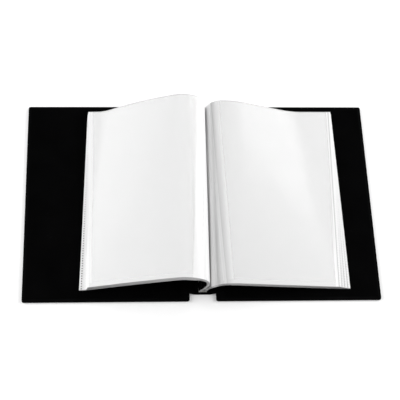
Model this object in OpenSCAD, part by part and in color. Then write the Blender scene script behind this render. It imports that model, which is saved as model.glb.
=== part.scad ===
// Pocket photo album lying open in the middle.
// Two wrapped covers lie flat and a flexible spine strip joins them. Clear pocket leaves stand
// on the strip by their guards, arch over and lie down on the covers. A white insert is in each.
// X runs across the spread, Y from tail to head, Z up. The origin is under the middle of the spine.

/* [Covers] */
// Width of one cover, spine edge to fore edge
cover_w = 237; // [225:1:280]
// Height of a cover, tail to head
cover_h = 330; // [310:1:380]
// Thickness of the stiff board inside a cover
board_t = 2.4; // [1.6:0.1:4]
// Thickness of the leatherette round a board
wrap_t = 0.5; // [0.3:0.1:0.9]
// Width of leatherette turned in over the board's inner face
turn_in = 16; // [13:1:24]
// Radius of the covers' corners
corner_r = 3; // [1:0.5:6]
// Thickness of the lining paper inside a cover
lining_t = 0.3; // [0.2:0.1:0.6]
// Width of leatherette left bare round the lining
lining_margin = 5; // [3:1:9]

/* [Spine] */
// Width of the flexible joint between the spine and a cover
joint_w = 6.5; // [4:0.5:9]
// Thickness of the spine strip
strip_t = 0.6; // [0.4:0.1:1]
// Width of the strip's flap that is glued onto a cover
flap_w = 12; // [8:1:16]
// Share of the covers' overhang past the leaves that the strip reaches over
strip_reach = 0.25; // [0:0.05:0.8]
// Thickness of the liner cloth on the strip
liner_t = 0.5; // [0.3:0.1:1]
// Width of bare strip left on each side of the liner
liner_margin = 2; // [1:0.5:4]
// Thickness of the glue that holds the guards
glue_t = 0.8; // [0.5:0.1:1.5]
// Spare room between the two stacks in the closed album
closed_play = 1; // [0.5:0.5:4]

/* [Leaves] */
// Number of leaves lying on the left
left_count = 12; // [4:1:12]
// Number of leaves lying on the right
right_count = 8; // [4:1:11]
// Width of a leaf from its glued edge to its fore edge
leaf_w = 218; // [205:1:230]
// Height of a leaf, tail to head
leaf_h = 301; // [270:1:305]
// Thickness of a pocket
leaf_t = 0.62; // [0.55:0.01:0.7]
// Distance from one leaf to the next in a stack
leaf_pitch = 0.87; // [0.8:0.01:1]
// Thickness of the clear film
film_t = 0.15; // [0.1:0.01:0.17]
// Width of the welded seam along a pocket's fore edge and tail
seam_w = 5; // [3:0.5:7]
// Width of the welded seam where a pocket meets its guard
gutter_seam_w = 8; // [4:0.5:10]
// Thickness of an insert
insert_t = 0.2; // [0.12:0.01:0.26]
// Room beside an insert in its pocket
insert_play = 1; // [0.5:0.1:2]
// Width of a guard, the plain film strip that binds a leaf
guard_w = 42; // [36:1:48]
// Thickness of a guard
guard_t = 0.25; // [0.2:0.01:0.3]
// Distance from one guard to the next at the glue
bind_pitch = 0.45; // [0.4:0.01:0.55]
// Length of guard that turns from upright in the glue to the heading of its stack
root_run = 8; // [6:0.5:12]
// Half the distance between the two stacks at the glue
gutter_gap = 1.5; // [1.4:0.1:3]

/* [Left arch] */
// Heading of the left guards above the glue, above 90 when they lean across the gutter
left_root = 101; // [95:1:104]
// Heading at the top of the left guards
left_lean = 124; // [115:1:126]
// Heading where the left shoulder becomes the crown
left_brow = 25; // [18:1:35]
// Downhill slope below the left crown
left_slope = 15; // [11:0.5:18]
// Downhill slope above the left toe
left_fall = 24; // [20:0.5:27]
// Shoulder radius under the left stack
left_shoulder_r = 12.5; // [10:0.5:15]
// Crown radius under the left stack
left_crown_r = 48; // [40:1:56]
// Radius of the curve that lays the left stack down
left_toe_r = 60; // [40:1:90]
// Length of the left stack that lies flat
left_flat = 24; // [10:1:34]

/* [Right arch] */
// Heading of the right guards above the glue
right_root = 45; // [40:1:52]
// Heading at the top of the right guards
right_lean = 40; // [34:1:46]
// Heading where the right shoulder becomes the crown
right_brow = 4; // [1:1:10]
// Downhill slope below the right crown
right_slope = 15; // [12:0.5:17]
// Downhill slope above the right toe
right_fall = 12; // [10:0.5:14]
// Shoulder radius under the right stack
right_shoulder_r = 17; // [14:0.5:24]
// Crown radius under the right stack
right_crown_r = 115; // [90:1:140]
// Radius of the curve that lays the right stack down
right_toe_r = 215; // [150:5:260]
// Length of the right stack that lies flat
right_flat = 30; // [15:1:45]

/* [Hidden] */
$fn = 48;
LEFT = 0;
RIGHT = 1;
upright = 90;
// Clear distance between pieces that move past each other
move_gap = 0.3;
// Amount by which a cut reaches past the face that it opens
cut_past = 1;
// Number of flat facets in each round stretch of a leaf
round_facets = 8;
// Index of the last stretch in a leaf's path
last_stretch = 6;

cover_t = board_t + 2 * wrap_t;
lining_top = cover_t + lining_t;
counts = [left_count, right_count];
spine_w = 2 * (lining_top - strip_t) + (left_count + right_count) * leaf_pitch + closed_play;
cover_edge = spine_w / 2 + joint_w;
strip_h = leaf_h + strip_reach * (cover_h - leaf_h);
foot_z = strip_t + liner_t + glue_t;
fore_z = lining_top + move_gap;

// A leaf's path is a chain of stretches, each [length, heading at its start, heading at its end].
// Headings are in degrees above the outward direction, and the path is the underside of the
// lowest leaf. The riser and the slope take the lengths that use up the leaf's width and end it
// on the lining.
roots = [left_root, right_root];
leans = [left_lean, right_lean];
brows = [left_brow, right_brow];
slopes = [left_slope, right_slope];
falls = [left_fall, right_fall];
shoulder_rs = [left_shoulder_r, right_shoulder_r];
crown_rs = [left_crown_r, right_crown_r];
toe_rs = [left_toe_r, right_toe_r];
flats = [left_flat, right_flat];

function radians(angle) = angle * PI / 180;
function chord_share(turn) = turn == 0 ? 1 : sin(turn / 2) / radians(turn / 2);
function chord(stretch) =
    let (middle = (stretch[1] + stretch[2]) / 2)
    stretch[0] * chord_share(stretch[2] - stretch[1]) * [cos(middle), sin(middle)];
function shoulder(side) = [shoulder_rs[side] * radians(leans[side] - brows[side]), leans[side], brows[side]];
function crown(side) = [crown_rs[side] * radians(brows[side] + slopes[side]), brows[side], -slopes[side]];
function root(side) = [root_run, upright, roots[side]];
function toe(side) = [toe_rs[side] * radians(falls[side]), -falls[side], 0];
function round_stretches(side) = [root(side), shoulder(side), crown(side), toe(side)];
function round_length(side, k = 0) =
    k == len(round_stretches(side)) ? 0 : round_stretches(side)[k][0] + round_length(side, k + 1);
function round_rise(side, k = 0) =
    k == len(round_stretches(side)) ? 0 : chord(round_stretches(side)[k])[1] + round_rise(side, k + 1);
function free_length(side) = leaf_w - round_length(side) - flats[side];
function riser_length(side) =
    let (climb = chord([1, roots[side], leans[side]])[1], fall = -chord([1, -slopes[side], -falls[side]])[1])
    (fore_z - foot_z - round_rise(side) + free_length(side) * fall) / (climb + fall);
function path(side) = [
    root(side),
    [riser_length(side), roots[side], leans[side]],
    shoulder(side),
    crown(side),
    [free_length(side) - riser_length(side), -slopes[side], -falls[side]],
    toe(side),
    [flats[side] + cut_past, 0, 0]
];
paths = [path(LEFT), path(RIGHT)];

// The block is glued with its middle on the middle of the spine, so the larger stack reaches past it
block_shift = (left_count - right_count) * bind_pitch / 2;
block_shifts = [-block_shift, block_shift];

// Where each stretch starts: its distance along the path and its place across and up
function foot_u(side) = gutter_gap + (counts[side] - 1) * bind_pitch + guard_t + block_shifts[side];
function starts(side, k) =
    k == 0 ? [[0, foot_u(side), foot_z]] :
    let (before = starts(side, k - 1), last = before[k - 1], step = chord(paths[side][k - 1]))
    concat(before, [[last[0] + paths[side][k - 1][0], last[1] + step[0], last[2] + step[1]]]);
path_starts = [starts(LEFT, last_stretch), starts(RIGHT, last_stretch)];

function stretch_at(side, s, k = last_stretch) =
    k == 0 || s >= path_starts[side][k][0] ? k : stretch_at(side, s, k - 1);
function heading_at(side, s) =
    let (k = stretch_at(side, s), stretch = paths[side][k])
    stretch[0] == 0 ? stretch[1] :
    stretch[1] + (stretch[2] - stretch[1]) * (s - path_starts[side][k][0]) / stretch[0];
function place_at(side, s) =
    let (k = stretch_at(side, s), start = path_starts[side][k])
    [start[1], start[2]] + chord([s - start[0], paths[side][k][1], heading_at(side, s)]);
// The point a given height above the underside of the lowest leaf
function raised(side, s, height) =
    let (heading = heading_at(side, s))
    place_at(side, s) + height * [-sin(heading), cos(heading)];

// Every leaf is cut to one width, so a leaf that lies higher and bends further ends sooner
function leaf_end(i) = leaf_w - i * leaf_pitch * radians(upright);
function pocket_width(side, i, start) =
    leaf_end(i) - start + i * leaf_pitch * radians(heading_at(side, start) - heading_at(side, leaf_end(i)));
// Where the pocket of leaf i starts, found by halving until its width is a leaf's without its guard
function pocket_start(side, i, low = 0, high = leaf_w / 2, halvings = 24) =
    let (middle = (low + high) / 2)
    halvings == 0 ? middle :
    pocket_width(side, i, middle) > leaf_w - guard_w ? pocket_start(side, i, middle, high, halvings - 1) :
    pocket_start(side, i, low, middle, halvings - 1);
pocket_starts = [for (side = [LEFT, RIGHT]) [for (i = [0 : counts[side] - 1]) pocket_start(side, i)]];
function guard_end(side, i) = pocket_starts[side][i] - move_gap;
function cavity_start(side, i) = pocket_starts[side][i] + gutter_seam_w;
function insert_start(side, i) = cavity_start(side, i) + insert_play;
function cavity_end(i) = leaf_end(i) - seam_w;
function insert_end(i) = cavity_end(i) - insert_play;
function sorted(v) =
    len(v) < 2 ? v :
    let (pivot = v[floor(len(v) / 2)])
    concat(sorted([for (x = v) if (x < pivot) x]), [pivot], sorted([for (x = v) if (x > pivot) x]));
function leaf_knots(side, i) = sorted(concat(
    [for (k = [0 : last_stretch]) for (j = [0 : round_facets - 1])
        if (j == 0 || paths[side][k][1] != paths[side][k][2])
            path_starts[side][k][0] + paths[side][k][0] * j / round_facets],
    [guard_end(side, i), pocket_starts[side][i], cavity_start(side, i), insert_start(side, i)],
    [insert_end(i), cavity_end(i), leaf_end(i)]
));
function knots_between(side, i, from, to) = [for (s = leaf_knots(side, i)) if (s >= from && s <= to) s];

function leaf_name(kind, i) = str(kind, i < 10 ? "_0" : "_", i);

// Pieces are drawn for the right side and mirrored for the left
module on_side(side) {
    if (side == LEFT) mirror([1, 0, 0]) children();
    if (side == RIGHT) children();
}

// A profile drawn across and up, carried along the album from one y to another
module along_album(y_from, y_to) {
    translate([0, y_to, 0])
        rotate([90, 0, 0])
            linear_extrude(y_to - y_from)
                children();
}

module rounded_plate(w, h, t, r) {
    linear_extrude(t) {
        square([w - 2 * r, h], center = true);
        square([w, h - 2 * r], center = true);
        for (x = [-1, 1], y = [-1, 1])
            translate([x * (w / 2 - r), y * (h / 2 - r)])
                circle(r);
    }
}

module at_cover(side, z) {
    on_side(side)
        translate([cover_edge + cover_w / 2, 0, z])
            children();
}

module board_solid() {
    rounded_plate(cover_w - 2 * wrap_t, cover_h - 2 * wrap_t, board_t, corner_r - wrap_t);
}

module cover_board(side) {
    color("tan")
        at_cover(side, wrap_t)
            board_solid();
}

module turned_in_opening() {
    translate([-cover_w / 2 + turn_in, -cover_h / 2 + turn_in, 0])
        cube([cover_w - 2 * turn_in, cover_h - 2 * turn_in, wrap_t]);
}

// Leatherette skin under the board, up its edges and turned in over its inner face
module cover_wrap(side) {
    color([0.05, 0.05, 0.05])
        at_cover(side, 0)
            difference() {
                rounded_plate(cover_w, cover_h, cover_t, corner_r);
                translate([0, 0, wrap_t])
                    board_solid();
                translate([0, 0, cover_t - wrap_t])
                    turned_in_opening();
            }
}

// Black paper that fills the opening between the turn-ins and laps over them
module cover_lining(side) {
    inner = -cover_w / 2 + flap_w + move_gap;
    outer = cover_w / 2 - lining_margin;
    high = cover_h - 2 * lining_margin;
    color([0.08, 0.08, 0.08])
        at_cover(side, cover_t)
            union() {
                translate([inner, -high / 2, 0])
                    cube([outer - inner, high, lining_t]);
                translate([0, 0, -wrap_t])
                    turned_in_opening();
            }
}

module spine_strip() {
    w = spine_w - move_gap;
    color([0.05, 0.05, 0.05])
        translate([-w / 2, -strip_h / 2, 0])
            cube([w, strip_h, strip_t]);
}

// The strip's free joint and the flap beyond it that is glued onto the cover
module cover_flap(side) {
    start = spine_w / 2 + move_gap / 2;
    end = cover_edge + flap_w;
    color([0.05, 0.05, 0.05])
        on_side(side)
            along_album(-strip_h / 2, strip_h / 2)
                polygon([
                    [start, 0],
                    [cover_edge, cover_t],
                    [end, cover_t],
                    [end, cover_t + strip_t],
                    [cover_edge, cover_t + strip_t],
                    [start, strip_t]
                ]);
}

module spine_liner() {
    w = spine_w - 2 * liner_margin;
    color("dimgray")
        translate([-w / 2, -leaf_h / 2, strip_t])
            cube([w, leaf_h, liner_t]);
}

module glue_bed() {
    color("gainsboro")
        translate([-foot_u(LEFT), -leaf_h / 2, strip_t + liner_t])
            cube([foot_u(LEFT) + foot_u(RIGHT), leaf_h, glue_t]);
}

// A guard's height above the path grows from its place in the glue to the middle of its leaf
function guard_height(side, i, s) =
    let (share = s / pocket_starts[side][i])
    i * (bind_pitch + (leaf_pitch - bind_pitch) * share) + share * (leaf_t - guard_t) / 2;

// Film strips that stand in the glue and fan out to the pockets
module guards(side) {
    color("whitesmoke")
        on_side(side)
            for (i = [0 : counts[side] - 1]) {
                knots = knots_between(side, i, 0, guard_end(side, i));
                backwards = [for (k = [len(knots) - 1 : -1 : 0]) knots[k]];
                along_album(-leaf_h / 2, leaf_h / 2)
                    polygon(concat(
                        [for (s = knots) raised(side, s, guard_height(side, i, s))],
                        [for (s = backwards) raised(side, s, guard_height(side, i, s) + guard_t)]
                    ));
            }
}

// A layer of leaf i from one distance along the path to another, between two heights in the leaf
module leaf_layer(side, i, from, to, low, high) {
    knots = knots_between(side, i, from, to);
    backwards = [for (k = [len(knots) - 1 : -1 : 0]) knots[k]];
    polygon(concat(
        [for (s = knots) raised(side, s, i * leaf_pitch + low)],
        [for (s = backwards) raised(side, s, i * leaf_pitch + high)]
    ));
}

// Two films welded along both sides and the tail, open at the head
module pocket_leaf(side, i) {
    color("white")
        on_side(side)
            difference() {
                along_album(-leaf_h / 2, leaf_h / 2)
                    leaf_layer(side, i, pocket_starts[side][i], leaf_end(i), 0, leaf_t);
                along_album(-leaf_h / 2 + seam_w, leaf_h / 2 + cut_past)
                    leaf_layer(side, i, cavity_start(side, i), cavity_end(i), film_t, leaf_t - film_t);
            }
}

module insert_card(side, i) {
    low = (leaf_t - insert_t) / 2;
    color("white")
        on_side(side)
            along_album(-leaf_h / 2 + seam_w + insert_play, leaf_h / 2 - insert_play)
                leaf_layer(side, i, insert_start(side, i), insert_end(i), low, low + insert_t);
}

cover_board(LEFT);  // front_board
cover_wrap(LEFT);  // front_wrap
cover_lining(LEFT);  // front_lining
cover_board(RIGHT);  // back_board
cover_wrap(RIGHT);  // back_wrap
cover_lining(RIGHT);  // back_lining
spine_strip();
cover_flap(LEFT);  // front_flap
cover_flap(RIGHT);  // back_flap
spine_liner();
glue_bed();
guards(LEFT);  // left_guards
guards(RIGHT);  // right_guards
for (i = [1 : left_count])
    pocket_leaf(LEFT, i - 1);
for (i = [1 : left_count])
    insert_card(LEFT, i - 1);
for (i = [1 : right_count])
    pocket_leaf(RIGHT, i - 1);
for (i = [1 : right_count])
    insert_card(RIGHT, i - 1);
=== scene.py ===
import math

import bmesh
import bpy
import numpy as np
from mathutils import Matrix, Vector

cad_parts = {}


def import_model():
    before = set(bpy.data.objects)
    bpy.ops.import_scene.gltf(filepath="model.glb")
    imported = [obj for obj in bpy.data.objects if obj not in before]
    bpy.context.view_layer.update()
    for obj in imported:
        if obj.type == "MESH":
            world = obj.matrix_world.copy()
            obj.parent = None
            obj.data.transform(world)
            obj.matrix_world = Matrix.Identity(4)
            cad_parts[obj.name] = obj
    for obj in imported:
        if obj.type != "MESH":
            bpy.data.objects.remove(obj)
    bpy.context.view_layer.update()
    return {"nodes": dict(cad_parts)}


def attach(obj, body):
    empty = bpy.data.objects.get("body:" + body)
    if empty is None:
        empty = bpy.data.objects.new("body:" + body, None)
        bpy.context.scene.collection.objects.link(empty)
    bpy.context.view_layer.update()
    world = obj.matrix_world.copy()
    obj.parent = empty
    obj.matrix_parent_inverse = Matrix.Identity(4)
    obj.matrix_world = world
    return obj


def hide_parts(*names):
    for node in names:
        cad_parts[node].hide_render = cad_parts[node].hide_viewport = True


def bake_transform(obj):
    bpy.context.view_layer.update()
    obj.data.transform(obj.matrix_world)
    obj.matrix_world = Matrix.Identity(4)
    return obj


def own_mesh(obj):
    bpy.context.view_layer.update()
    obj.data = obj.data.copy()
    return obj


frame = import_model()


# Cover boards
# Two plates of grey pasteboard, 2.4 mm thick, cut to the covers' size. The leatherette is glued
# round them and the lining over it, so the board itself is closed in on every side.

def start_material(name):
    material = bpy.data.materials.new(name)
    material.use_nodes = True
    tree = material.node_tree
    return material, tree, tree.nodes["Principled BSDF"]


def add_node(tree, kind, values=None, **settings):
    node = tree.nodes.new(kind)
    for setting, value in settings.items():
        setattr(node, setting, value)
    for socket, value in (values or {}).items():
        feed(tree, value, node.inputs[socket])
    return node


def feed(tree, value, socket):
    if isinstance(value, bpy.types.NodeSocket):
        tree.links.new(value, socket)
    else:
        socket.default_value = value


def object_place(tree):
    return add_node(tree, "ShaderNodeTexCoord").outputs["Object"]


def cloudy(tree, place, per_metre, detail=3.0, roughness=0.5):
    values = {"Vector": place, "Scale": per_metre, "Detail": detail, "Roughness": roughness}
    return add_node(tree, "ShaderNodeTexNoise", values).outputs["Fac"]


def spread(tree, value, low, high, to_low=0.0, to_high=1.0):
    values = {"Value": value, "From Min": low, "From Max": high, "To Min": to_low, "To Max": to_high}
    return add_node(tree, "ShaderNodeMapRange", values, clamp=True).outputs["Result"]


def two_tone(tree, share, first, second):
    node = add_node(tree, "ShaderNodeMix", data_type="RGBA")
    feed(tree, share, node.inputs[0])
    feed(tree, first, node.inputs[6])
    feed(tree, second, node.inputs[7])
    return node.outputs[2]


def emboss(tree, height, depth, strength, under=None):
    values = {"Height": height, "Distance": depth, "Strength": strength}
    if under is not None:
        values["Normal"] = under
    return add_node(tree, "ShaderNodeBump", values).outputs["Normal"]


def dress(node_name, material):
    shown = frame["nodes"][node_name]
    shown.data.materials.clear()
    shown.data.materials.append(material)


PULP_DARK, PULP_PALE = (0.25, 0.23, 0.2, 1), (0.42, 0.39, 0.34, 1)
pasteboard, tree, shader = start_material("grey_pasteboard")
flakes = cloudy(tree, object_place(tree), 420.0, 4.0, 0.7)
pulp = two_tone(tree, spread(tree, flakes, 0.35, 0.65), PULP_DARK, PULP_PALE)
feed(tree, pulp, shader.inputs["Base Color"])
feed(tree, spread(tree, flakes, 0.3, 0.7, 0.82, 0.95), shader.inputs["Roughness"])
feed(tree, emboss(tree, flakes, 0.00008, 0.5), shader.inputs["Normal"])
for side in ("front", "back"):
    dress(side + "_board", pasteboard)


# Cover wraps
# Black leatherette, half a millimetre thick, glued to the outside of each board, drawn round its
# edges and turned in 16 mm over the inner face. The corners are mitred, which leaves a fine groove.

# Sizes are in millimetres, and the meshes in metres
MM = 0.001
COVER_W, COVER_H, COVER_T = 237.0, 330.0, 3.4
COVER_MIDDLE = 137.3
CORNER_R, LEAST_CORNER_R = 3.0, 0.9
CORNER_STEPS = 8
EDGE_R, EDGE_TURNS = 0.9, (0, 30, 60, 90)
SKIN = 0.5
TURN_IN, TURN_IN_BEVEL, TURN_IN_DROP = 16.0, 0.4, 0.15
MITRE_DEPTH, MITRE_INSETS = 0.22, (2.0, 6.0, 11.0, TURN_IN - TURN_IN_BEVEL)
BLACK_DEEP, BLACK_WORN = (0.0006, 0.0006, 0.0007, 1), (0.0016, 0.0016, 0.0018, 1)


def rounded_ring(inset, z, groove=0.0):
    radius = max(CORNER_R - inset, LEAST_CORNER_R)
    half_w, half_h = COVER_W / 2 - inset - radius, COVER_H / 2 - inset - radius
    ring = []
    for corner, (across, along) in enumerate(((1, 1), (-1, 1), (-1, -1), (1, -1))):
        for step in range(CORNER_STEPS + 1):
            angle = math.radians(90 * (corner + step / CORNER_STEPS))
            low = groove if step == CORNER_STEPS // 2 else 0.0
            ring.append((across * half_w + radius * math.cos(angle),
                         along * half_h + radius * math.sin(angle), z - low))
    return ring


def closed_loft(rings):
    faces, count = [], len(rings[0])
    for k in range(len(rings) - 1):
        for i in range(count):
            j = (i + 1) % count
            faces.append((k * count + i, k * count + j, (k + 1) * count + j, (k + 1) * count + i))
    faces.append(tuple(range(count)))
    faces.append(tuple((len(rings) - 1) * count + i for i in range(count)))
    return [point for ring in rings for point in ring], faces


def make_piece(name, points, faces, material, maps=None, sharp=35.0):
    mesh = bpy.data.meshes.new(name)
    mesh.from_pydata([tuple(c * MM for c in point) for point in points], [], faces)
    for map_name, values in (maps or {}).items():
        layer = mesh.uv_layers.new(name=map_name)
        corner_points = np.empty(len(mesh.loops), dtype=np.int32)
        mesh.loops.foreach_get("vertex_index", corner_points)
        layer.data.foreach_set("uv", np.asarray(values, dtype=np.float32)[corner_points].ravel() * MM)
    work = bmesh.new()
    work.from_mesh(mesh)
    bmesh.ops.recalc_face_normals(work, faces=work.faces)
    work.to_mesh(mesh)
    work.free()
    mesh.polygons.foreach_set("use_smooth", [True] * len(mesh.polygons))
    mesh.set_sharp_from_angle(angle=math.radians(sharp))
    mesh.materials.append(material)
    piece = bpy.data.objects.new(name, mesh)
    bpy.context.scene.collection.objects.link(piece)
    return piece


def calculate(tree, operation, *values):
    node = add_node(tree, "ShaderNodeMath", dict(enumerate(values)), operation=operation)
    return node.outputs[0]


def make_grain_group():
    group = bpy.data.node_groups.new("leatherette_grain", "ShaderNodeTree")
    group.interface.new_socket(name="Pebbles per Metre", in_out="INPUT", socket_type="NodeSocketFloat")
    group.interface.new_socket(name="Height", in_out="OUTPUT", socket_type="NodeSocketFloat")
    group.interface.new_socket(name="Rubbed", in_out="OUTPUT", socket_type="NodeSocketFloat")
    asked = group.nodes.new("NodeGroupInput").outputs["Pebbles per Metre"]
    given = group.nodes.new("NodeGroupOutput")
    place = object_place(group)
    values = {"Vector": place, "Scale": asked, "Smoothness": 0.6}
    pebbles = add_node(group, "ShaderNodeTexVoronoi", values, feature="SMOOTH_F1").outputs["Distance"]
    creases = cloudy(group, place, calculate(group, "MULTIPLY", asked, 2.3), 2.0)
    mixed = calculate(group, "ADD", calculate(group, "MULTIPLY", creases, 0.6), pebbles)
    group.links.new(mixed, given.inputs["Height"])
    rubbed = spread(group, cloudy(group, place, 28.0, 5.0, 0.65), 0.42, 0.7)
    group.links.new(rubbed, given.inputs["Rubbed"])
    return group


def place_group(tree, group, values=None):
    node = add_node(tree, "ShaderNodeGroup", node_tree=group)
    for socket, value in (values or {}).items():
        feed(tree, value, node.inputs[socket])
    return node.outputs


leatherette_grain = make_grain_group()
cover_skin, tree, shader = start_material("cover_leatherette")
grain = place_group(tree, leatherette_grain, {"Pebbles per Metre": 1100.0})
feed(tree, two_tone(tree, grain["Rubbed"], BLACK_DEEP, BLACK_WORN), shader.inputs["Base Color"])
feed(tree, spread(tree, grain["Rubbed"], 0, 1, 0.72, 0.6), shader.inputs["Roughness"])
feed(tree, emboss(tree, grain["Height"], 0.00012, 0.55), shader.inputs["Normal"])
shader.inputs["Specular IOR Level"].default_value = 0.03

rings = []
for turn in EDGE_TURNS:
    angle = math.radians(turn)
    rings.append(rounded_ring(EDGE_R * (1 - math.sin(angle)), EDGE_R * (1 - math.cos(angle))))
for turn in EDGE_TURNS:
    angle = math.radians(turn)
    rings.append(rounded_ring(EDGE_R * (1 - math.cos(angle)), COVER_T - EDGE_R * (1 - math.sin(angle))))
for inset in MITRE_INSETS:
    rings.append(rounded_ring(inset, COVER_T, MITRE_DEPTH))
rings.append(rounded_ring(TURN_IN, COVER_T - TURN_IN_DROP))
rings.append(rounded_ring(TURN_IN, COVER_T - SKIN))
rings.append(rounded_ring(SKIN, COVER_T - SKIN))
rings.append(rounded_ring(SKIN, SKIN))
wrap_points, wrap_faces = closed_loft(rings)
for side, across in (("front", -1), ("back", 1)):
    moved = [(x + across * COVER_MIDDLE, y, z) for x, y, z in wrap_points]
    wrap = make_piece(side + "_cover_skin", moved, wrap_faces, cover_skin)
    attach(wrap, side + "_cover")
    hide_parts(side + "_wrap")


# Cover linings
# A sheet of black paper glued to the inner face of each cover. It fills the opening between the
# turn-ins and laps over them, 5 mm short of the cover's edges.

LINING_DEEP, LINING_WORN = (0.0005, 0.0005, 0.0006, 1), (0.0012, 0.0012, 0.0013, 1)
lining_paper, tree, shader = start_material("black_lining_paper")
place = object_place(tree)
fibres = cloudy(tree, place, 900.0, 5.0, 0.75)
patches = cloudy(tree, place, 22.0, 3.0)
lining_black = two_tone(tree, spread(tree, patches, 0.3, 0.7), LINING_DEEP, LINING_WORN)
feed(tree, lining_black, shader.inputs["Base Color"])
feed(tree, spread(tree, fibres, 0.3, 0.7, 0.8, 0.92), shader.inputs["Roughness"])
feed(tree, emboss(tree, fibres, 0.00004, 0.4), shader.inputs["Normal"])
shader.inputs["Specular IOR Level"].default_value = 0.02
for side in ("front", "back"):
    dress(side + "_lining", lining_paper)


# Spine strip
# One strip of soft black leatherette. Its middle carries the leaves, and its long edges are glued
# onto the covers' inner faces, so it is the hinge of both covers. It is made in two halves.

STRIP_T = 0.6
STRIP_END = 154.1
FLAP_END = 30.8
RISE_FROM, RISE_TO = 9.5, 19.9
RIM = 0.25
STRIP_ROWS = 25
STRIP_WORN = (0.002, 0.002, 0.0022, 1)


def strip_height(across):
    share = np.clip((across - RISE_FROM) / (RISE_TO - RISE_FROM), 0, 1)
    return COVER_T * share * share * (3 - 2 * share)


def plate_faces(rows, columns):
    faces, half = [], rows * columns
    for r in range(rows - 1):
        for c in range(columns - 1):
            a, b = r * columns + c, (r + 1) * columns + c
            faces.append((a, a + 1, b + 1, b))
            faces.append((half + b, half + b + 1, half + a + 1, half + a))
    rim = list(range(columns))
    rim += [r * columns + columns - 1 for r in range(1, rows)]
    rim += [(rows - 1) * columns + c for c in range(columns - 2, -1, -1)]
    rim += [r * columns for r in range(rows - 2, 0, -1)]
    for k, a in enumerate(rim):
        b = rim[(k + 1) % len(rim)]
        faces.append((a, half + a, half + b, b))
    return faces


def plate_points(upper, lower):
    return np.concatenate([upper.reshape(-1, 3), lower.reshape(-1, 3)])


def soften_rim(upper, lower, share=0.3):
    middle = (upper + lower) / 2
    edge = np.zeros(upper.shape[:2], dtype=bool)
    edge[0, :] = edge[-1, :] = edge[:, 0] = edge[:, -1] = True
    upper[edge] = middle[edge] + (upper - middle)[edge] * share
    lower[edge] = middle[edge] + (lower - middle)[edge] * share


strip_skin, tree, shader = start_material("spine_leatherette")
grain = place_group(tree, leatherette_grain, {"Pebbles per Metre": 1500.0})
feed(tree, two_tone(tree, grain["Rubbed"], BLACK_DEEP, STRIP_WORN), shader.inputs["Base Color"])
feed(tree, spread(tree, grain["Rubbed"], 0, 1, 0.7, 0.55), shader.inputs["Roughness"])
feed(tree, emboss(tree, grain["Height"], 0.00009, 0.5), shader.inputs["Normal"])
shader.inputs["Specular IOR Level"].default_value = 0.04

# Columns lie close together where the strip climbs onto the cover
strip_across = np.concatenate([np.linspace(0, 8, 5), np.linspace(9, 21, 17),
                               np.linspace(23, FLAP_END - RIM, 5), [FLAP_END]])
strip_middle = np.linspace(-STRIP_END + RIM, STRIP_END - RIM, STRIP_ROWS)
strip_along = np.concatenate([[-STRIP_END], strip_middle, [STRIP_END]])
for side, across in (("front", -1), ("back", 1)):
    grid_x, grid_y = np.meshgrid(strip_across, strip_along)
    lower = np.stack([across * grid_x, grid_y, strip_height(grid_x)], axis=-1)
    upper = lower + np.array([0, 0, STRIP_T])
    middle_column = upper[:, 0].copy(), lower[:, 0].copy()
    soften_rim(upper, lower)
    upper[1:-1, 0], lower[1:-1, 0] = middle_column[0][1:-1], middle_column[1][1:-1]
    strip_faces = plate_faces(*grid_x.shape)
    strip = make_piece(side + "_spine_strip", plate_points(upper, lower), strip_faces, strip_skin)
    if side == "front":
        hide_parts("spine_strip", "front_flap")
    else:
        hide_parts("back_flap")
    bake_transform(strip)


# Spine liner
# A band of black cotton cloth glued along the middle of the strip, under the leaves. It keeps the
# strip from stretching there.

THREAD_SCALE, THREAD_WANDER = 420.0, 0.6
CLOTH_DEEP, CLOTH_RAISED = (0.001, 0.001, 0.0011, 1), (0.004, 0.004, 0.0044, 1)
liner_cloth, tree, shader = start_material("black_liner_cloth")
values = {"Vector": object_place(tree), "Scale": THREAD_SCALE, "Distortion": THREAD_WANDER}
warp, weft = [add_node(tree, "ShaderNodeTexWave", values, wave_type="BANDS", bands_direction=way)
              for way in ("X", "Y")]
threads = calculate(tree, "MULTIPLY", warp.outputs["Fac"], weft.outputs["Fac"])
feed(tree, two_tone(tree, threads, CLOTH_DEEP, CLOTH_RAISED), shader.inputs["Base Color"])
feed(tree, spread(tree, threads, 0, 1, 0.95, 0.8), shader.inputs["Roughness"])
feed(tree, emboss(tree, threads, 0.0001, 0.7), shader.inputs["Normal"])
shader.inputs["Specular IOR Level"].default_value = 0.05
dress("spine_liner", liner_cloth)


# Glue bed
# Hot glue spread along the liner, in which the guards stand. It sets to a low bead of milky
# plastic with an uneven surface.

BEAD_HALF, BEAD_END, BEAD_FOOT, BEAD_TOP = 6.3, 150.5, 1.1, 2.3
BEAD_RIM, BEAD_INSET, BEAD_SINK, BEAD_EDGE_T = 0.6, 0.4, 0.15, 0.08
BEAD_ROWS, BEAD_COLUMNS = 61, 13
GLUE_DEEP, GLUE_PALE = (0.5, 0.49, 0.45, 1), (0.68, 0.67, 0.63, 1)
bead_glue, tree, shader = start_material("milky_glue")
drops = cloudy(tree, object_place(tree), 160.0, 3.0)
glue_white = two_tone(tree, spread(tree, drops, 0.35, 0.65), GLUE_DEEP, GLUE_PALE)
feed(tree, glue_white, shader.inputs["Base Color"])
feed(tree, spread(tree, drops, 0.3, 0.7, 0.25, 0.5), shader.inputs["Roughness"])
feed(tree, emboss(tree, drops, 0.0005, 0.5), shader.inputs["Normal"])
shader.inputs["Subsurface Weight"].default_value = 0.15
shader.inputs["Subsurface Radius"].default_value = (0.002, 0.002, 0.0018)

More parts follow.
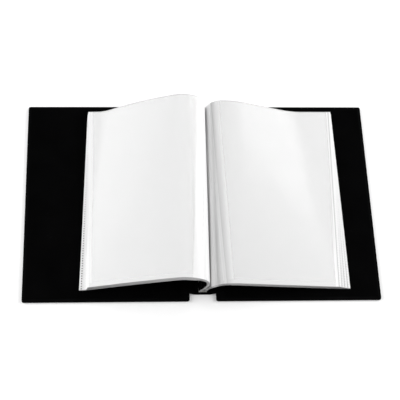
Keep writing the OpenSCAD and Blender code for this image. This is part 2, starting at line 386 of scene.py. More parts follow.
bead_middle = np.linspace(-BEAD_END + BEAD_RIM, BEAD_END - BEAD_RIM, BEAD_ROWS)
bead_along = np.concatenate([[-BEAD_END], bead_middle, [BEAD_END]])
grid_share, grid_y = np.meshgrid(np.linspace(-1, 1, BEAD_COLUMNS), bead_along)
# The bead swells and narrows along its length, in two uneven waves
wander = 0.25 * np.sin(grid_y * 0.19) + 0.2 * np.sin(grid_y * 0.47 + 1.3)
crown = (1 - grid_share ** 4) * (BEAD_TOP - BEAD_FOOT - BEAD_SINK + 0.2 * wander)
bead_x = grid_share * (BEAD_HALF - BEAD_INSET + wander)
lower = np.stack([bead_x, grid_y, np.full_like(grid_y, BEAD_FOOT)], axis=-1)
upper = np.stack([bead_x, grid_y, BEAD_FOOT + BEAD_EDGE_T + crown], axis=-1)
soften_rim(upper, lower, 0.5)
glue = make_piece("glue_bead", plate_points(upper, lower), plate_faces(*grid_y.shape), bead_glue)
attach(glue, "spine")
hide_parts("glue_bed")


# Guards
# Strips of milky film, 42 mm wide, that bind the pockets. Each stands in the glue by one edge, and
# its other edge is welded to a pocket. The film is springy, so the stacks arch over to each side.

TAIL, HEAD = -150.5, 150.5
FOOT_OUT, FOOT_UP, FORE_UP = 5.8, 1.9, 4.0
ROOT_RUN = 8.0
GUARD_W, GUARD_T = 42.0, 0.25
GUARD_ROWS, GUARD_COLUMNS = 19, 20
POCKET_T = 0.62
PATH_STEP = 0.5
SMOOTHING, SMOOTHING_ROUNDS = 13, 2
# The weld is looked for within this many steps of the path
WELD_STEPS = 160
# One arch per end of each stack: headings in degrees, radii and lengths in millimetres
ARCHES = {
    ("left", "tail"): dict(root=98.0, lean=126.0, brow=28.2, slope=13.1, fall=16.5, shoulder_r=9.0,
                           crown_r=48.7, toe_r=23.3, flat=4.1, drift=2.3, width=211.7),
    ("left", "head"): dict(root=99.6, lean=117.3, brow=37.1, slope=15.8, fall=28.8, shoulder_r=13.0,
                           crown_r=33.4, toe_r=46.3, flat=16.2, drift=-2.2, width=217.0),
    ("right", "tail"): dict(root=44.5, lean=17.4, brow=5.5, slope=6.8, fall=6.3, shoulder_r=19.8,
                            crown_r=91.3, toe_r=128.6, flat=8.0, drift=2.2, width=215.5),
    ("right", "head"): dict(root=45.8, lean=60.7, brow=1.9, slope=19.9, fall=18.7, shoulder_r=14.3,
                            crown_r=98.3, toe_r=108.2, flat=45.6, drift=0.5, width=225.1),
}
OUTWARD = {"left": -1, "right": 1}
# Film carries its side's mark and its leaf's number in a map, which the materials read
SIDE_MARK = {"left": 1.0, "right": 0.0}
# The leaves lie in three bundles with a slit between them
LEAF_PITCH, SLIT = 0.75, {"left": 1.41, "right": 1.17}
BUNDLES = {"left": (4, 4, 4), "right": (3, 3, 2)}


def leaf_levels(side):
    steps = [LEAF_PITCH] * sum(BUNDLES[side])
    steps[0] = 0
    for slit in np.cumsum(BUNDLES[side])[:-1]:
        steps[slit] = SLIT[side]
    return np.cumsum(steps)


LEVELS = {side: leaf_levels(side) for side in ("left", "right")}
COUNTS = {side: len(levels) for side, levels in LEVELS.items()}
# In the gutter the thin guards lie closer together than the pockets: by what share, from and to what
# distance from the glue, and whether against the upper or the lower face of the stack
PACKED = {"left": (0.46, 24.0, 52.0, 1.0), "right": (0.6, 0.0, 36.0, 0.0)}
PACK_RISE = 14.0
# At the tail the leaves press closer together than at the head
TAIL_PRESS = {"left": 0.83, "right": 0.94}


# How far a stretch of an arch reaches outward and upward while its heading turns evenly
def run_vector(length, start, end):
    turn = math.radians(end - start) / 2
    reach = length * (math.sin(turn) / turn if abs(turn) > 1e-9 else 1.0)
    middle = math.radians((start + end) / 2)
    return np.array([reach * math.cos(middle), reach * math.sin(middle)])


# The line of a stack's lowest leaf at one place along the spine, from the glue to the fore edge. Its
# arch is a mix of those at tail and head, with a riser just long enough to end on the cover
def make_path(side, y):
    share = (y - TAIL) / (HEAD - TAIL)
    tail, head = ARCHES[side, "tail"], ARCHES[side, "head"]
    arch = {key: (1 - share) * tail[key] + share * head[key] for key in tail}
    root = (ROOT_RUN, 90.0, arch["root"])
    shoulder_turn = math.radians(arch["lean"] - arch["brow"])
    shoulder = (arch["shoulder_r"] * shoulder_turn, arch["lean"], arch["brow"])
    crown = (arch["crown_r"] * math.radians(arch["brow"] + arch["slope"]), arch["brow"], -arch["slope"])
    toe = (arch["toe_r"] * math.radians(arch["fall"]), -arch["fall"], 0.0)
    flat = (arch["flat"], 0.0, 0.0)
    fixed = (root, shoulder, crown, toe, flat)
    rise = sum(run_vector(*run)[1] for run in fixed)
    spare = arch["width"] - sum(run[0] for run in fixed)
    climb = run_vector(1, arch["root"], arch["lean"])[1]
    drop = run_vector(1, -arch["slope"], -arch["fall"])[1]
    riser = (FORE_UP - FOOT_UP - rise - spare * drop) / (climb - drop)
    runs = (root, (riser, arch["root"], arch["lean"]), shoulder, crown,
            (spare - riser, -arch["slope"], -arch["fall"]), toe, flat)
    ends = np.cumsum([0] + [run[0] for run in runs])
    s = np.linspace(0, ends[-1], int(ends[-1] / PATH_STEP) + 1)
    heading = np.zeros_like(s)
    for run, begin, end in zip(runs, ends[:-1], ends[1:]):
        inside = (s >= begin) & (s <= end)
        heading[inside] = run[1] + (run[2] - run[1]) * (s[inside] - begin) / max(end - begin, 1e-9)
    for _ in range(SMOOTHING_ROUNDS):
        padded = np.pad(heading, SMOOTHING // 2, mode="edge")
        heading = np.convolve(padded, np.ones(SMOOTHING) / SMOOTHING, mode="valid")
    heading = np.radians(heading)
    middle = (heading[1:] + heading[:-1]) / 2
    step = s[1] - s[0]
    out = FOOT_OUT + np.concatenate([[0], np.cumsum(step * np.cos(middle))])
    up = FOOT_UP + np.concatenate([[0], np.cumsum(step * np.sin(middle))])
    up += (FORE_UP - up[-1]) * s / s[-1]
    return {"s": s, "out": out, "up": up, "heading": heading,
            "drift": arch["drift"], "width": arch["width"]}


made_paths = {}


def path_at(side, y):
    key = (side, round(float(y), 4))
    if key not in made_paths:
        made_paths[key] = make_path(side, y)
    return made_paths[key]


def ease(value, low, high):
    share = np.clip((value - low) / (high - low), 0, 1)
    return share * share * (3 - 2 * share)


# Places on a leaf: at distances from the glue along the lowest leaf's line, and a height in the stack
def lay(side, y, s, height, thickness=0.0):
    path = path_at(side, y)
    tight, begin, end, outer = PACKED[side]
    share = tight + (1 - tight) * ease(s, begin, end)
    press = TAIL_PRESS[side] + (1 - TAIL_PRESS[side]) * (y - TAIL) / (HEAD - TAIL)
    whole = (LEVELS[side][-1] + POCKET_T) * press
    height = outer * whole * (1 - share) * ease(s, 0, PACK_RISE) + height * press * share + thickness
    heading = np.interp(s, path["s"], path["heading"])
    out = np.interp(s, path["s"], path["out"])
    up = np.interp(s, path["s"], path["up"])
    place_y = y + path["drift"] * np.clip(out, 0, None) / path["out"][-1]
    place_x = OUTWARD[side] * (out - height * np.sin(heading))
    return np.stack([place_x, place_y, up + height * np.cos(heading)], axis=-1)


# Where a guard ends, along the lowest leaf's line: an upper guard goes the longer way round the bend
def weld_distance(side, leaf):
    path = path_at(side, 0.0)
    used = path["s"] + LEVELS[side][leaf] * (math.pi / 2 - path["heading"])
    return float(np.interp(GUARD_W, used[:WELD_STEPS], path["s"][:WELD_STEPS]))


def guard_strip(side, leaf, first, last, columns, low=-GUARD_T / 2, high=GUARD_T / 2):
    weld = weld_distance(side, leaf)
    upper, lower, places = [], [], []
    for y in np.linspace(TAIL, HEAD, GUARD_ROWS):
        s = np.linspace(first * weld, last * weld, columns)
        middle = LEVELS[side][leaf] + POCKET_T / 2
        lower.append(lay(side, y, s, middle, low))
        upper.append(lay(side, y, s, middle, high))
        places.append(np.stack([s, np.full_like(s, y - TAIL)], axis=-1))
    places = np.array(places).reshape(-1, 2)
    return np.array(upper), np.array(lower), np.concatenate([places, places])


# Two pressed lines run along each guard; they stop just short of the tail
FOLDS, FOLD_W, FOLD_STOP = (23.4, 32.3), 1.5, 4.5
FOLD_SOFT = 0.3
GUARD_DARK, GUARD_PALE, GUARD_BLACK = (0.94, 0.94, 0.94, 1), (1, 1, 1, 1), (0.0015, 0.0015, 0.0016, 1)
LEFT_GUARD, OUTER_SHADE_GREY, DEEP_SHADOW_GREY = (0.9, 0.9, 0.9, 1), (0.86, 0.86, 0.86, 1), (0.16, 0.16, 0.16, 1)
BLACK, WHITE, EDGE_SHADE_GREY = (0, 0, 0, 1), (1, 1, 1, 1), (0.6, 0.6, 0.6, 1)
# Where each painted shade and glow begins and ends, across from the glue or along from the tail
OUTER_SHADE = 19.0, 27.0
DEEP_SHADE, DEEP_ALONG = (14.2, 15.8), (60.0, 220.0)
GLOW_BEGIN, GLOW_END, GLOW_ALONG = (15.0, 16.5), (22.0, 25.5), (40.0, 150.0)
TAIL_EDGE = 0.1, 0.4
# The gutter's line runs askew over the guards by this share of their length
GUTTER_SKEW = 0.037
GLOW = 0.135
# Streaks per metre across the film and along it, where it was drawn out
STREAKS = 240.0, 3.0, 1.0


def read_map(tree, map_name):
    place = add_node(tree, "ShaderNodeUVMap", uv_map=map_name).outputs["UV"]
    return add_node(tree, "ShaderNodeSeparateXYZ", {0: place}).outputs


def over_span(tree, value, span, to_low=0.0, to_high=1.0):
    return spread(tree, value, span[0] * MM, span[1] * MM, to_low, to_high)


# A count kept in a map: 1 from the given number on, and 0 before it
def at_least(tree, count, number):
    return over_span(tree, count, (number - 0.6, number - 0.4))


def inverse(tree, mask):
    return spread(tree, mask, 0, 1, 1.0, 0.0)


def both(tree, first, second):
    return calculate(tree, "MULTIPLY", first, second)


def either(tree, first, second):
    return calculate(tree, "MAXIMUM", first, second)


def stripe(tree, value, middle, width, soft):
    away = calculate(tree, "ABSOLUTE", calculate(tree, "SUBTRACT", value, middle * MM))
    return over_span(tree, away, (width / 2 - soft, width / 2 + soft), 1.0, 0.0)


guard_film, tree, shader = start_material("guard_film")
from_glue = add_node(tree, "ShaderNodeUVMap", uv_map="from_glue").outputs["UV"]
glue_way = add_node(tree, "ShaderNodeSeparateXYZ", {0: from_glue}).outputs
drawn = add_node(tree, "ShaderNodeMapping", {"Vector": from_glue, "Scale": STREAKS}).outputs["Vector"]
streaks = cloudy(tree, drawn, 1.0, 2.0)
folds_and_highlight = either(tree, *[stripe(tree, glue_way["X"], fold, FOLD_W, FOLD_SOFT) for fold in FOLDS])
folds_and_highlight = both(tree, folds_and_highlight, over_span(tree, glue_way["Y"], (FOLD_STOP - 1, FOLD_STOP + 1)))
tone = two_tone(tree, spread(tree, streaks, 0.3, 0.7), GUARD_DARK, GUARD_PALE)
stack = read_map(tree, "stack")
on_left = at_least(tree, stack["X"], 1)
# Painted shade: the guards turn grey from 19 mm off the glue outwards
tone = two_tone(tree, over_span(tree, glue_way["X"], OUTER_SHADE, 0.0, 0.8), tone, OUTER_SHADE_GREY)
# A painted shadow darkens the guards far down in the gutter, more so towards the tail
askew = calculate(tree, "MULTIPLY", glue_way["Y"], GUTTER_SKEW)
gutter_way = calculate(tree, "SUBTRACT", glue_way["X"], askew)
gutter_shadow = both(tree, over_span(tree, gutter_way, DEEP_SHADE, 1.0, 0.0),
            over_span(tree, glue_way["Y"], DEEP_ALONG, 0.8, 0.0))
tone = two_tone(tree, gutter_shadow, tone, DEEP_SHADOW_GREY)
tone = two_tone(tree, calculate(tree, "MULTIPLY", on_left, 0.9), tone, LEFT_GUARD)
# The pressed lines are painted white, a painted highlight along the ridges that the bump raises
tone = two_tone(tree, folds_and_highlight, tone, WHITE)
# Painted shade: the guards' tail edge is painted grey
tone = two_tone(tree, over_span(tree, glue_way["Y"], TAIL_EDGE, 1.0, 0.0), tone, EDGE_SHADE_GREY)
lowest = inverse(tree, at_least(tree, stack["Y"], 1))
feed(tree, two_tone(tree, lowest, tone, GUARD_BLACK), shader.inputs["Base Color"])
# A painted glow: emission lightens the right guards some way down the gutter, in place of light the milky
# film would carry from the open page
painted_glow = both(tree, over_span(tree, gutter_way, GLOW_BEGIN),
               over_span(tree, gutter_way, GLOW_END, 1.0, 0.0))
painted_glow = both(tree, painted_glow, over_span(tree, glue_way["Y"], GLOW_ALONG, 0.62, 1.0))
painted_glow = both(tree, painted_glow, inverse(tree, either(tree, on_left, lowest)))
feed(tree, two_tone(tree, painted_glow, BLACK, WHITE), shader.inputs["Emission Color"])
shader.inputs["Emission Strength"].default_value = GLOW
feed(tree, spread(tree, streaks, 0.3, 0.7, 0.2, 0.34), shader.inputs["Roughness"])
feed(tree, either(tree, spread(tree, streaks, 0.3, 0.7, 0.84, 0.95), lowest), shader.inputs["Alpha"])
ridges = calculate(tree, "ADD", calculate(tree, "MULTIPLY", folds_and_highlight, 0.6),
                   calculate(tree, "MULTIPLY", streaks, 0.4))
feed(tree, emboss(tree, ridges, 0.0004, 0.4), shader.inputs["Normal"])


def strip_stack(name, side, strips, columns):
    points, faces, places, stacked = [], [], [], []
    for leaf, (upper, lower, place) in strips.items():
        start = len(points)
        points.extend(plate_points(upper, lower).tolist())
        places.extend(place)
        stacked.extend([(SIDE_MARK[side], leaf)] * len(place))
        faces.extend(tuple(i + start for i in face) for face in plate_faces(GUARD_ROWS, columns))
    return make_piece(name, points, faces, guard_film, {"from_glue": places, "stack": stacked})


# The crease begins and ends at these shares of the way from the glue to the weld
CREASE_FROM, CREASE_TO = 0.97, 1.06
CREASE_COLUMNS = 9
top_left = COUNTS["left"] - 1
for side in ("left", "right"):
    strips = {}
    for leaf in range(COUNTS[side]):
        turning = side == "left" and leaf == top_left
        strips[leaf] = guard_strip(side, leaf, 0.0, CREASE_FROM if turning else 1.0, GUARD_COLUMNS)
    guards = strip_stack(side + "_guard_strips", side, strips, GUARD_COLUMNS)
    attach(guards, "spine")
    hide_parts(side + "_guards")
    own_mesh(guards)

# The last stretch of the top left guard, where the leaf turns, is a piece of its own
crease_strip = guard_strip("left", top_left, CREASE_FROM, CREASE_TO, CREASE_COLUMNS)
crease = strip_stack("turning_guard", "left", {top_left: crease_strip}, CREASE_COLUMNS)
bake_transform(crease)


# Pocket leaves
# Each leaf is two thin plastic films welded together along the gutter, the tail and the fore edge,
# and open at the head. Rows of dots mark the fore edge weld.

FILM_T = 0.15
WELD_W, SEAM_W = 8.0, 5.0
GUTTER_BAND, FORE_BAND, FORE_EDGE = 13.5, (2.6, 8.6, 12.0), 1.8
CARD_PLAY = 1.0
# How far each leaf's fore edge stops short of the lowest leaf's, at the tail and at the head
SHORT = {
    ("left", "tail"): np.array([0, 0.5, 1.0, 10.9, 11.3, 11.7, 12.2, 12.7, 13.2, 13.7, 14.2, 14.8]),
    ("left", "head"): np.linspace(0, 1.6, 12),
    ("right", "tail"): np.array([0, 0.4, 4.6, 5.0, 9.2, 9.6, 13.6, 14.0]),
    ("right", "head"): np.linspace(0, 1.8, 8),
}
RIPPLE, TOP_RIPPLE = 0.06, 0.35
CALM_UNTIL, CALM_FADE = 45.0, 60.0


# Two slow waves that cross, shifted from leaf to leaf. The film stays calm near the glue, and the
# top leaf, which nothing presses, only rises
def ripple(side, leaf, y, s):
    phase = 1.7 * leaf + (0.6 if side == "right" else 0.0)
    wave = np.sin(0.083 * y + 0.05 * s + phase) * np.sin(0.061 * s - 0.037 * y + 2.1 * phase)
    loose = np.clip((s - CALM_UNTIL) / CALM_FADE, 0, 1)
    if leaf == COUNTS[side] - 1:
        return TOP_RIPPLE * loose * (0.5 + 0.5 * wave)
    return RIPPLE * loose * wave


def fore_distance(side, leaf, y):
    share = (y - TAIL) / (HEAD - TAIL)
    short = (1 - share) * SHORT[side, "tail"][leaf] + share * SHORT[side, "head"][leaf]
    return path_at(side, y)["width"] - short


SEAM_LINE, SEAM_LINE_W = 3.5, 1.5
# Each row of weld dots: its distance from the fore edge, its start, the dots' radius and their depth
DOT_PITCH = 4.1
DOT_ROWS = ((2.0, 0.0, 0.85, 1.0), (5.4, 0.5, 0.6, 0.12), (7.9, 0.0, 0.6, 0.1), (10.4, 0.5, 0.6, 0.08))
# Only this many leaves, counted from the cover, show a wide band with dark dots on the left
LOW_LEAVES = 3
# Where the seams fade, along from the tail, and how soft the gutter seam's edge is at either end
DOT_FADE, GUTTER_FADE, LEAF_RUN = (50.0, 170.0), (100.0, 300.0), (0.0, 300.0)
GUTTER_CRISP, GUTTER_SOFT = 0.4, 5.0
SOFT, CRISP, OVERLAP = 0.3, 0.03, 0.4
TAIL_RIM, HEAD_RIM = 0.3, 0.7


def make_seam_group():
    group = bpy.data.node_groups.new("welded_seams", "ShaderNodeTree")
    for name in ("Seam", "Fore Seam", "Gutter Seam And Highlight", "Tail Seam", "Right Gutter Shade", "Line", "Dots", "Edge"):
        group.interface.new_socket(name=name, in_out="OUTPUT", socket_type="NodeSocketFloat")
    given = group.nodes.new("NodeGroupOutput")
    weld, fore, stack = [read_map(group, name) for name in ("from_weld", "from_fore", "stack")]

    def before(value, edge, soft=SOFT):
        return over_span(group, value, (edge - soft, edge + soft), 1.0, 0.0)

    def give(name, mask):
        group.links.new(mask, given.inputs[name])

    on_left = at_least(group, stack["X"], 1)
    on_right = inverse(group, on_left)
    lowest = both(group, inverse(group, at_least(group, stack["Y"], LOW_LEAVES)), on_left)
    fading = over_span(group, weld["Y"], DOT_FADE, 1.0, 0.1)
    left_band, right_band, low_band = [before(fore["X"], width) for width in FORE_BAND]
    band = either(group, left_band, both(group, right_band, on_right))
    band = either(group, band, both(group, low_band, lowest))
    band = both(group, band, fading)
    give("Fore Seam", either(group, band, before(fore["X"], FORE_EDGE)))
    # The wide gutter seam of the left leaves is a weld painted white as a highlight; it is crisp at the
    # tail and fades towards the head
    past = calculate(group, "SUBTRACT", weld["X"], GUTTER_BAND * MM)
    blur = over_span(group, weld["Y"], LEAF_RUN, GUTTER_CRISP * MM, GUTTER_SOFT * MM)
    past = calculate(group, "DIVIDE", past, blur)
    gutter_seam_and_highlight = both(group, spread(group, past, -1, 1, 1.0, 0.0), on_left)
    give("Gutter Seam And Highlight", both(group, gutter_seam_and_highlight, over_span(group, weld["Y"], GUTTER_FADE, 1.0, 0.7)))
    # The seams reach just over the insert's edges
    over = CARD_PLAY + OVERLAP
    tail_seam = before(weld["Y"], SEAM_W + over, CRISP)
    give("Tail Seam", tail_seam)
    seam = either(group, before(weld["X"], WELD_W + over, CRISP), before(fore["X"], SEAM_W + over, CRISP))
    for mask in (tail_seam, band, gutter_seam_and_highlight):
        seam = either(group, seam, mask)
    give("Seam", seam)
    # Painted shade: the right leaves darken towards the gutter, over the weld and a little past it
    right_gutter_shade = over_span(group, weld["X"], (0.0, WELD_W + CARD_PLAY), 1.0, 0.2)
    give("Right Gutter Shade", both(group, right_gutter_shade, on_right))
    # A pressed line near the fore edge, faint on the left; on the right leaves its grey is painted shade
    # at each fanned group's step
    line = stripe(group, fore["X"], SEAM_LINE, SEAM_LINE_W, SOFT)
    give("Line", both(group, line, spread(group, on_right, 0, 1, 0.2, 1.0)))
    give("Edge", either(group, before(weld["Y"], TAIL_RIM), before(fore["Y"], HEAD_RIM)))
    dots = 0.0
    for row, offset, size, share in DOT_ROWS:
        along = calculate(group, "ADD", calculate(group, "DIVIDE", weld["Y"], DOT_PITCH * MM), offset)
        along = calculate(group, "SUBTRACT", calculate(group, "FRACT", along), 0.5)
        along = calculate(group, "MULTIPLY", along, DOT_PITCH * MM)
        across = calculate(group, "SUBTRACT", fore["X"], row * MM)
        squares = calculate(group, "ADD", both(group, along, along), both(group, across, across))
        spot = before(calculate(group, "SQRT", squares), size)
        dots = either(group, dots, calculate(group, "MULTIPLY", spot, share))
    dots = both(group, dots, spread(group, lowest, 0, 1, 0.12, 1.0))
    give("Dots", both(group, dots, fading))
    return group


welded_seams = make_seam_group()
FILM_WHITE, SEAM_WHITE, GUTTER_SHADE_GREY = (0.96, 0.96, 0.96, 1), (0.98, 0.98, 0.98, 1), (0.68, 0.68, 0.68, 1)
TAIL_WHITE, LINE_SHADE_GREY, DOT_GREY = (0.87, 0.87, 0.87, 1), (0.62, 0.62, 0.62, 1), (0.1, 0.1, 0.1, 1)
FRONT_ALPHA, REAR_ALPHA, SEAM_ALPHA = 0.3, 0.94, 0.97
pocket_film, tree, shader = start_material("pocket_film")
seams = place_group(tree, welded_seams)
colour = two_tone(tree, seams["Tail Seam"], FILM_WHITE, TAIL_WHITE)
# The right leaves are painted darker near the gutter, as painted shade
colour = two_tone(tree, seams["Right Gutter Shade"], colour, GUTTER_SHADE_GREY)
# The seams are whiter; on the left leaves' gutter seam the white is partly a painted highlight
colour = two_tone(tree, either(tree, seams["Fore Seam"], seams["Gutter Seam And Highlight"]), colour, SEAM_WHITE)
# Painted shade at the fanned leaves' steps, along the pressed line
colour = two_tone(tree, seams["Line"], colour, LINE_SHADE_GREY)
colour = two_tone(tree, seams["Dots"], colour, DOT_GREY)
# Painted shade: the pockets' rims at tail and head are painted grey
colour = two_tone(tree, seams["Edge"], colour, EDGE_SHADE_GREY)
feed(tree, colour, shader.inputs["Base Color"])
place = object_place(tree)
slack = cloudy(tree, place, 14.0, 2.0)
scuffs = cloudy(tree, place, 240.0, 4.0)
feed(tree, spread(tree, scuffs, 0.3, 0.7, 0.14, 0.26), shader.inputs["Roughness"])
# The front film is a little cloudy; the rear film, behind the insert, is frosted
opacity = spread(tree, either(tree, seams["Seam"], seams["Edge"]), 0, 1, FRONT_ALPHA, SEAM_ALPHA)
rear = at_least(tree, read_map(tree, "ply")["X"], 1)
opacity = either(tree, opacity, calculate(tree, "MULTIPLY", rear, REAR_ALPHA))
feed(tree, either(tree, opacity, seams["Dots"]), shader.inputs["Alpha"])
pressed = calculate(tree, "ADD", calculate(tree, "MULTIPLY", seams["Line"], 0.5), seams["Dots"])
feed(tree, emboss(tree, pressed, 0.0002, -0.6, emboss(tree, slack, 0.004, 0.35)), shader.inputs["Normal"])


# Rows of the mesh across the tail weld, from the tail, and columns across the welds of the gutter and
# the fore edge, from each
TAIL_ROWS = np.array([0.0, 2.0])
WELD_COLUMNS, FORE_COLUMNS = np.array([0.0, 0.9, 4.0]), np.array([2.1, 0.0])
# Columns and rows of the mesh over a pocket, closer in the top leaf
TOP_GRID, LOWER_GRID = (52, 26), (36, 14)


# Levels 0 and 3 are the outer faces of the two films, and 1 and 2 their inner faces round the cavity
def pocket_piece(name, side, leaf, cavity_columns, cavity_rows):
    ys = np.concatenate([TAIL + TAIL_ROWS, np.linspace(TAIL + SEAM_W, HEAD, cavity_rows)])
    weld = weld_distance(side, leaf)
    heights = (0.0, FILM_T, POCKET_T - FILM_T, POCKET_T)
    levels, weld_map, fore_map = [[] for _ in heights], [], []
    for y in ys:
        fore = fore_distance(side, leaf, y)
        s = np.concatenate([weld + WELD_COLUMNS,
                            np.linspace(weld + WELD_W, fore - SEAM_W, cavity_columns),
                            fore - FORE_COLUMNS])
        lift = LEVELS[side][leaf] + ripple(side, leaf, y, s)
        for level, height in zip(levels, heights):
            level.append(lay(side, y, s, lift + height))
        weld_map.append(np.stack([s - weld, np.full_like(s, y - TAIL)], axis=-1))
        fore_map.append(np.stack([fore - s, np.full_like(s, HEAD - y)], axis=-1))
    levels, rows, columns = np.array(levels), len(ys), len(s)
    first_row, first = len(TAIL_ROWS), len(WELD_COLUMNS)
    last = first + cavity_columns - 1
    points, maps, index = [], {"from_weld": [], "from_fore": [], "stack": [], "ply": []}, {}
    for level in range(len(heights)):
        for r in range(rows):
            for c in range(columns):
                if level in (0, 3) or (first <= c <= last and r >= first_row):
                    index[level, r, c] = len(points)
                    points.append(tuple(levels[level, r, c]))
                    maps["from_weld"].append(weld_map[r][c])
                    maps["from_fore"].append(fore_map[r][c])
                    maps["stack"].append((SIDE_MARK[side], leaf))
                    maps["ply"].append((1.0 if level < 2 else 0.0, 0.0))

    def quad(*corners):
        return tuple(index[corner] for corner in corners)

    def wall_across(low, high, r, c):
        return quad((low, r, c), (low, r, c + 1), (high, r, c + 1), (high, r, c))

    def wall_along(low, high, r, c):
        return quad((low, r, c), (low, r + 1, c), (high, r + 1, c), (high, r, c))

    faces = []
    for r in range(rows - 1):
        for c in range(columns - 1):
            hollow = first <= c < last and r >= first_row
            for level in (0, 1, 2, 3) if hollow else (0, 3):
                faces.append(quad((level, r, c), (level, r, c + 1),
                                  (level, r + 1, c + 1), (level, r + 1, c)))
    head = rows - 1
    for c in range(columns - 1):
        faces.append(wall_across(0, 3, 0, c))
        if first <= c < last:
            faces.append(wall_across(1, 2, first_row, c))
            faces.append(wall_across(0, 1, head, c))
            faces.append(wall_across(2, 3, head, c))
        else:
            corners = [(0, head, c), (0, head, c + 1)]
            corners += [(1, head, c + 1), (2, head, c + 1)] if c + 1 == first else []
            corners += [(3, head, c + 1), (3, head, c)]
            corners += [(2, head, c), (1, head, c)] if c == last else []
            faces.append(quad(*corners))
    for r in range(rows - 1):
        for c in (0, columns - 1):
            faces.append(wall_along(0, 3, r, c))
        for c in (first, last) if r >= first_row else ():
            faces.append(wall_along(1, 2, r, c))
    return make_piece(name, points, faces, pocket_film, maps)


# The line from a stack's middle weld to this far from its fore edge, and the normal to it
FORE_REST = 8.0
flatten = {}
for side in ("left", "right"):
    level = LEVELS[side][-1] / 2
    weld = lay(side, 0.0, np.array([weld_distance(side, COUNTS[side] // 2)]), level)[0]
    fore = lay(side, 0.0, np.array([path_at(side, 0.0)["width"] - FORE_REST]), level)[0]
    chord = (fore - weld) / np.linalg.norm(fore - weld)
    normal = np.array([-chord[2], 0.0, chord[0]]) * OUTWARD[side]
    flatten[side] = side + "_leaves_hinge", normal, weld


def flatten_when_closed(piece):
    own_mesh(piece)


# The upper part of each right guard is two plies; the upper ply goes with the leaves as they close
PLY_FROM, PLY_T, PLY_COLUMNS = 0.557, 0.1, 10
ply_faces = GUARD_T / 2, GUARD_T / 2 + PLY_T
strips = {leaf: guard_strip("right", leaf, PLY_FROM, 1.0, PLY_COLUMNS, *ply_faces)
          for leaf in range(COUNTS["right"])}
plies = strip_stack("right_guard_plies", "right", strips, PLY_COLUMNS)
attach(plies, "right_leaves")
joint, normal, weld = flatten["right"]
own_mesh(plies)

for side in ("left", "right"):
    for leaf in range(COUNTS[side]):
        top = leaf == COUNTS[side] - 1
        number = f"{leaf + 1:02d}"
        grid = TOP_GRID if top else LOWER_GRID
        pocket = pocket_piece(f"{side}_pocket_{number}", side, leaf, *grid)
        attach(pocket, "turning_leaf" if top and side == "left" else side + "_leaves")
        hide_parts(f"{side}_leaf_{number}")
        flatten_when_closed(pocket)


# Inserts
# A plain sheet of white paper in every pocket, a millimetre smaller than the pocket all round. It
# shows through the cloudy front film, and slips in and out at the head.

CARD_T = 0.2
PAPER_DARK, PAPER_PALE = (0.91, 0.91, 0.91, 1), (0.95, 0.95, 0.95, 1)
insert_paper, tree, shader = start_material("white_insert_paper")
place = object_place(tree)
fibres = cloudy(tree, place, 700.0, 5.0, 0.7)
slack = cloudy(tree, place, 14.0, 2.0)
paper_white = two_tone(tree, spread(tree, fibres, 0.3, 0.7), PAPER_DARK, PAPER_PALE)
feed(tree, paper_white, shader.inputs["Base Color"])
feed(tree, spread(tree, fibres, 0.3, 0.7, 0.6, 0.75), shader.inputs["Roughness"])
feed(tree, emboss(tree, slack, 0.003, 0.3), shader.inputs["Normal"])
shader.inputs["Coat Weight"].default_value = 0.35
shader.inputs["Coat Roughness"].default_value = 0.22


def card_piece(name, side, leaf, columns, rows):
    weld = weld_distance(side, leaf)
    low = (POCKET_T - CARD_T) / 2
    upper, lower = [], []
    for y in np.linspace(TAIL + SEAM_W + CARD_PLAY, HEAD - CARD_PLAY, rows):
        fore = fore_distance(side, leaf, y)
        s = np.linspace(weld + WELD_W + CARD_PLAY, fore - SEAM_W - CARD_PLAY, columns)
        lift = LEVELS[side][leaf] + ripple(side, leaf, y, s) + low
        lower.append(lay(side, y, s, lift))
        upper.append(lay(side, y, s, lift + CARD_T))
    points = plate_points(np.array(upper), np.array(lower))
    return make_piece(name, points, plate_faces(rows, columns), insert_paper)


for side in ("left", "right"):
    for leaf in range(COUNTS[side]):
        top = leaf == COUNTS[side] - 1
        number = f"{leaf + 1:02d}"
        grid = TOP_GRID if top else LOWER_GRID
        card = card_piece(f"{side}_card_{number}", side, leaf, *grid)
        loose = {"left": "turning_insert", "right": "loose_insert"}[side]
        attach(card, loose if top else side + "_leaves")
        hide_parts(f"{side}_insert_{number}")
        flatten_when_closed(card)


# Studio
# A pale floor, soft lamps round the album, and the camera in front of it, above and a little to
# the left.

# In metres
FLOOR_HALF, FLOOR_DROP = 4.0, 0.0003
FLOOR_DARK, FLOOR_PALE = (0.95, 0.95, 0.95, 1), (0.97, 0.97, 0.97, 1)
FLOOR_GLOW, SKY_STRENGTH = 0.14, 0.25
floor_corners = [(x * FLOOR_HALF, y * FLOOR_HALF, -FLOOR_DROP)
                 for x, y in ((-1, -1), (1, -1), (1, 1), (-1, 1))]
floor_mesh = bpy.data.meshes.new("floor")
floor_mesh.from_pydata(floor_corners, [], [(0, 1, 2, 3)])
floor = bpy.data.objects.new("floor", floor_mesh)
bpy.context.scene.collection.objects.link(floor)
floor_paint, tree, shader = start_material("pale_floor")
mottle = cloudy(tree, object_place(tree), 3.0, 2.0)
feed(tree, two_tone(tree, mottle, FLOOR_DARK, FLOOR_PALE), shader.inputs["Base Color"])
shader.inputs["Roughness"].default_value = 0.9
shader.inputs["Specular IOR Level"].default_value = 0.1
shader.inputs["Emission Color"].default_value = WHITE
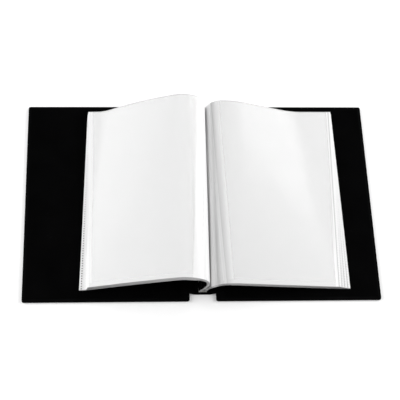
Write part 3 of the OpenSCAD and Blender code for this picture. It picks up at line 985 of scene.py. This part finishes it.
shader.inputs["Emission Strength"].default_value = FLOOR_GLOW
floor_mesh.materials.append(floor_paint)

world = bpy.data.worlds.new("studio")
world.use_nodes = True
sky = world.node_tree.nodes["Background"]
sky.inputs["Color"].default_value = WHITE
sky.inputs["Strength"].default_value = SKY_STRENGTH
bpy.context.scene.world = world

LAMP_W = 0.9
# Each lamp's name, place and power in watts
lamps = (
    ("right_lamp", (1.5, 0.0, 0.8), 21.0),
    ("right_back_lamp", (1.1, 1.1, 0.9), 8.0),
    ("left_lamp", (-1.5, 0.0, 0.8), 21.8),
    ("left_back_lamp", (-1.1, 1.1, 0.9), 3.5),
)
for name, location, watts in lamps:
    data = bpy.data.lights.new(name, "AREA")
    data.shape = "SQUARE"
    data.size = LAMP_W
    data.energy = watts
    lamp = bpy.data.objects.new(name, data)
    lamp.location = location
    lamp.rotation_mode = "QUATERNION"
    lamp.rotation_quaternion = (-Vector(location)).to_track_quat("-Z", "Y")
    bpy.context.scene.collection.objects.link(lamp)

FOCAL_PIXELS, FRAME_PIXELS, SENSOR = 1294.909, 400, 36.0
elevation, azimuth, roll = math.radians(60.0), math.radians(-7.237), math.radians(6.096)
aim, distance = Vector((1.48, 1.327, 0.0)) * MM, 1920.379 * MM
reach = math.cos(elevation)
back = Vector((math.sin(azimuth) * reach, -math.cos(azimuth) * reach, math.sin(elevation)))
level_right = (-back).cross(Vector((0, 0, 1))).normalized()
level_up = level_right.cross(-back)
right = math.cos(roll) * level_right + math.sin(roll) * level_up
up = -math.sin(roll) * level_right + math.cos(roll) * level_up
camera_data = bpy.data.cameras.new("camera")
camera_data.sensor_width = SENSOR
camera_data.lens = SENSOR * FOCAL_PIXELS / FRAME_PIXELS
camera = bpy.data.objects.new("camera", camera_data)
bpy.context.scene.collection.objects.link(camera)
turned = Matrix((right, up, back)).transposed().to_4x4()
camera.matrix_world = Matrix.Translation(aim + back * distance) @ turned
bpy.context.scene.camera = camera
bpy.context.scene.view_settings.view_transform = "Standard"
